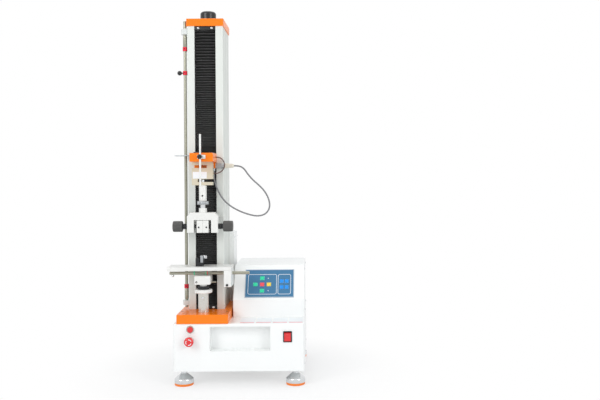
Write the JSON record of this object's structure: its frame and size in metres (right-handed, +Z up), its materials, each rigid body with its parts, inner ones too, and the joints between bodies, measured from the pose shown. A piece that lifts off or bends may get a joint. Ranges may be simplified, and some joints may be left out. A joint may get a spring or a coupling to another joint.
{
  "type": "universal testing machine",
  "caption": "Benchtop universal testing machine: bellows-covered column, travelling crosshead, load cell, screw vice grip, sliding peel table, keypad box and levelling feet.",
  "frame": {"origin": "middle of the machine's outer box, on the surface that its feet stand on", "axes": "+Z up, +Y to the back, +X to the right as the operator stands in front"},
  "size_m": [0.426, 0.47, 1.195],
  "materials": {
    "white_enamel": "glossy white powder coat",
    "tray_enamel": "white powder coat",
    "orange_enamel": "glossy orange enamel",
    "column_finish": "light grey anodised extrusion",
    "black_moulding": "glossy black plastic",
    "bellows_cloth": "black pleated coated cloth",
    "rail_steel": "ground steel",
    "cast_motor": "dark cast aluminium",
    "belt_rubber": "black toothed rubber",
    "circuit_parts": "circuit board and tinned case",
    "overlay_film": "steel blue printed film",
    "switch_moulding": "black moulded plastic",
    "bracket_enamel": "off white enamel",
    "turned_steel": "polished turned steel",
    "fixture_enamel": "white anodised aluminium",
    "connector_moulding": "black plastic and tinned shell",
    "carriage_alloy": "milled aluminium",
    "cell_alloy": "cream enamelled alloy",
    "jaw_alloy": "white anodised aluminium",
    "plug_moulding": "cream moulded plastic",
    "grey_sheath": "grey cable sheath",
    "brown_sheath": "brown grey lead sheath",
    "knurled_steel": "dark anodised, fluted",
    "scale_rod_steel": "bright steel rod",
    "rod_steel": "olive grey steel",
    "collar_red": "red anodised",
    "signal_red": "glossy red plastic",
    "foot_steel": "polished steel bell on orange rubber",
    "key_green": "green film",
    "key_red": "red film",
    "key_yellow": "yellow film",
    "key_blue": "blue film"
  },
  "bodies": {
    "root": {"chassis_cover": "white_enamel", "chassis_bottom": "white_enamel", "storage_tray": "tray_enamel", "base_plate": "orange_enamel", "column": "column_finish", "column_top_plate": "orange_enamel", "top_cap": "black_moulding", "guide_rails": "rail_steel", "screw_bearings": "rail_steel", "rear_housing": "white_enamel", "drive_motor": "cast_motor", "drive_belt": "belt_rubber", "electronics": "circuit_parts", "panel_box": "white_enamel", "keypad_overlay": "overlay_film", "switch_bodies": "switch_moulding", "rod_brackets": "bracket_enamel", "upper_bellows": "bellows_cloth", "lower_bellows": "bellows_cloth", "fixture_post": "turned_steel", "fixture_block": "fixture_enamel", "rear_connectors": "connector_moulding"},
    "crosshead": {"crosshead_arm": "orange_enamel", "carriage": "carriage_alloy", "load_cell": "cell_alloy", "cell_adapter": "turned_steel", "grip_frame": "jaw_alloy", "crosshead_brackets": "bracket_enamel", "sensor_plug": "plug_moulding", "sensor_cable": "grey_sheath", "cell_lead": "brown_sheath"},
    "ball_screw": {"ball_screw": "rail_steel"},
    "motor_pulley": {"motor_pulley": "rail_steel"},
    "left_jaw": {"left_jaw": "jaw_alloy"},
    "right_jaw": {"right_jaw": "jaw_alloy"},
    "left_wheel": {"left_hand_wheel": "knurled_steel"},
    "right_wheel": {"right_hand_wheel": "knurled_steel"},
    "front_rod": {"front_rod": "scale_rod_steel"},
    "rod_knob": {"rod_knob": "black_moulding"},
    "limit_rod": {"limit_rod": "rod_steel", "rod_collars": "collar_red"},
    "stop_collar": {"stop_collar": "collar_red"},
    "emergency_stop": {"emergency_stop": "signal_red"},
    "push_button": {"push_button": "signal_red"},
    "power_rocker": {"power_rocker": "signal_red"},
    "peel_table": {"peel_table": "fixture_enamel"},
    "clamp_knob": {"clamp_knob": "turned_steel"},
    "foot_front_left": {"foot_front_left": "foot_steel"},
    "foot_front_right": {"foot_front_right": "foot_steel"},
    "foot_rear_left": {"foot_rear_left": "foot_steel"},
    "foot_rear_right": {"foot_rear_right": "foot_steel"},
    "key_up": {"key_up": "key_green"},
    "key_left": {"key_left": "key_green"},
    "key_stop": {"key_stop": "key_red"},
    "key_right": {"key_right": "key_yellow"},
    "key_down": {"key_down": "key_green"},
    "menu_key_1": {"menu_key_1": "key_blue"},
    "menu_key_2": {"menu_key_2": "key_blue"},
    "menu_key_3": {"menu_key_3": "key_blue"},
    "menu_key_4": {"menu_key_4": "key_blue"}
  },
  "joints": [
    {"name": "crosshead_travel", "type": "slide", "parent": "root", "child": "crosshead", "axis": [0, 0, 1], "range_m": [-0.055, 0.25], "deforming": ["upper_bellows", "lower_bellows"]},
    {"name": "screw_spin", "type": "hinge", "parent": "root", "child": "ball_screw", "pos_m": [-0.103, -0.015, 0.195], "axis": [0, 0, 1], "range_deg": [-1981, 9001]},
    {"name": "motor_spin", "type": "hinge", "parent": "root", "child": "motor_pulley", "pos_m": [-0.103, 0.117, 0.195], "axis": [0, 0, 1], "range_deg": [-1981, 9001]},
    {"name": "left_jaw_slide", "type": "slide", "parent": "crosshead", "child": "left_jaw", "axis": [-1, 0, 0], "range_m": [0, 0.006]},
    {"name": "left_wheel_spin", "type": "hinge", "parent": "left_jaw", "child": "left_wheel", "pos_m": [-0.1655, -0.146, 0.4925], "axis": [-1, 0, 0], "range_deg": [0, 1439]},
    {"name": "right_jaw_slide", "type": "slide", "parent": "crosshead", "child": "right_jaw", "axis": [1, 0, 0], "range_m": [0, 0.006]},
    {"name": "right_wheel_spin", "type": "hinge", "parent": "right_jaw", "child": "right_wheel", "pos_m": [-0.0455, -0.146, 0.4925], "axis": [1, 0, 0], "range_deg": [0, 1439]},
    {"name": "front_rod_slide", "type": "slide", "parent": "crosshead", "child": "front_rod", "axis": [0, 0, 1], "range_m": [-0.06, 0.06]},
    {"name": "rod_knob_turn", "type": "hinge", "parent": "crosshead", "child": "rod_knob", "pos_m": [-0.1025, -0.223, 0.7095], "axis": [0, -1, 0], "range_deg": [0, 180]},
    {"name": "limit_rod_slide", "type": "slide", "parent": "root", "child": "limit_rod", "axis": [0, 0, 1], "range_m": [-0.003, 0.003], "stiffness_N_per_m": 6000, "springref_m": 0.00105},
    {"name": "stop_collar_slide", "type": "slide", "parent": "limit_rod", "child": "stop_collar", "axis": [0, 0, 1], "range_m": [-0.2, 0.05]},
    {"name": "emergency_stop_push", "type": "slide", "parent": "root", "child": "emergency_stop", "axis": [0, 1, 0], "range_m": [0, 0.004], "stiffness_N_per_m": 1500},
    {"name": "push_button_push", "type": "slide", "parent": "root", "child": "push_button", "axis": [0, 1, 0], "range_m": [0, 0.003], "stiffness_N_per_m": 1000},
    {"name": "power_rocker_rock", "type": "hinge", "parent": "root", "child": "power_rocker", "pos_m": [0.16, -0.191, 0.154], "axis": [-1, 0, 0], "range_deg": [0, 16]},
    {"name": "peel_table_slide", "type": "slide", "parent": "root", "child": "peel_table", "axis": [1, 0, 0], "range_m": [-0.02, 0.05]},
    {"name": "clamp_knob_turn", "type": "hinge", "parent": "peel_table", "child": "clamp_knob", "pos_m": [-0.1145, -0.146, 0.3958], "axis": [1, 0, 0], "range_deg": [0, 180]},
    {"name": "foot_front_left_height", "type": "slide", "parent": "root", "child": "foot_front_left", "axis": [0, 0, 1], "range_m": [-0.01, 0.004]},
    {"name": "foot_front_right_height", "type": "slide", "parent": "root", "child": "foot_front_right", "axis": [0, 0, 1], "range_m": [-0.01, 0.004]},
    {"name": "foot_rear_left_height", "type": "slide", "parent": "root", "child": "foot_rear_left", "axis": [0, 0, 1], "range_m": [-0.01, 0.004]},
    {"name": "foot_rear_right_height", "type": "slide", "parent": "root", "child": "foot_rear_right", "axis": [0, 0, 1], "range_m": [-0.01, 0.004]},
    {"name": "key_up_press", "type": "slide", "parent": "root", "child": "key_up", "axis": [0, 0.8407, -0.5416], "range_m": [0, 0.0004], "stiffness_N_per_m": 1000},
    {"name": "key_left_press", "type": "slide", "parent": "root", "child": "key_left", "axis": [0, 0.8407, -0.5416], "range_m": [0, 0.0004], "stiffness_N_per_m": 1000},
    {"name": "key_stop_press", "type": "slide", "parent": "root", "child": "key_stop", "axis": [0, 0.8407, -0.5416], "range_m": [0, 0.0004], "stiffness_N_per_m": 1000},
    {"name": "key_right_press", "type": "slide", "parent": "root", "child": "key_right", "axis": [0, 0.8407, -0.5416], "range_m": [0, 0.0004], "stiffness_N_per_m": 1000},
    {"name": "key_down_press", "type": "slide", "parent": "root", "child": "key_down", "axis": [0, 0.8407, -0.5416], "range_m": [0, 0.0004], "stiffness_N_per_m": 1000},
    {"name": "menu_key_1_press", "type": "slide", "parent": "root", "child": "menu_key_1", "axis": [0, 0.8407, -0.5416], "range_m": [0, 0.0004], "stiffness_N_per_m": 1000},
    {"name": "menu_key_2_press", "type": "slide", "parent": "root", "child": "menu_key_2", "axis": [0, 0.8407, -0.5416], "range_m": [0, 0.0004], "stiffness_N_per_m": 1000},
    {"name": "menu_key_3_press", "type": "slide", "parent": "root", "child": "menu_key_3", "axis": [0, 0.8407, -0.5416], "range_m": [0, 0.0004], "stiffness_N_per_m": 1000},
    {"name": "menu_key_4_press", "type": "slide", "parent": "root", "child": "menu_key_4", "axis": [0, 0.8407, -0.5416], "range_m": [0, 0.0004], "stiffness_N_per_m": 1000}
  ],
  "couplings": [
    {"joint": "screw_spin", "follows": "crosshead_travel", "rad_per_m": 628.32},
    {"joint": "motor_spin", "follows": "crosshead_travel", "rad_per_m": 628.32},
    {"joint": "left_jaw_slide", "follows": "left_wheel_spin", "m_per_rad": 0.00023873},
    {"joint": "right_jaw_slide", "follows": "right_wheel_spin", "m_per_rad": 0.00023873}
  ]
}
